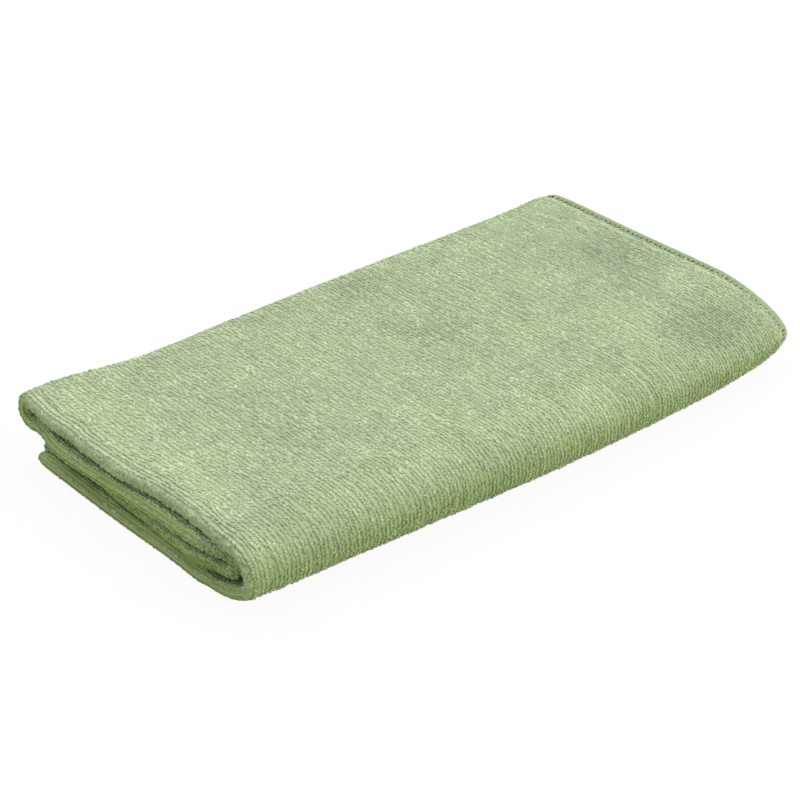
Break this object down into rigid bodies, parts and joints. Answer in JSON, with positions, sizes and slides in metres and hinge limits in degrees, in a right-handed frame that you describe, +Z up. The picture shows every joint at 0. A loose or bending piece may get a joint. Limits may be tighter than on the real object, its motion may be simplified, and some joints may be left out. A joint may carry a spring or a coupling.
{
  "type": "folded microfibre cloth",
  "caption": "Square terry cleaning cloth folded flat into a neat stack of layers, with a rounded fold along the front and overlocked hems at one short end.",
  "frame": {"origin": "middle of the outline on the surface it rests on", "axes": "+X from the half fold to the hemmed end, +Y from the front fold to the back, +Z up"},
  "size_m": [0.2044, 0.113, 0.0203],
  "materials": {
    "terry": "matte looped pile",
    "hem_thread": "soft polyester thread"
  },
  "bodies": {
    "root": {"microfibre_cloth": "terry"}
  },
  "joints": []
}
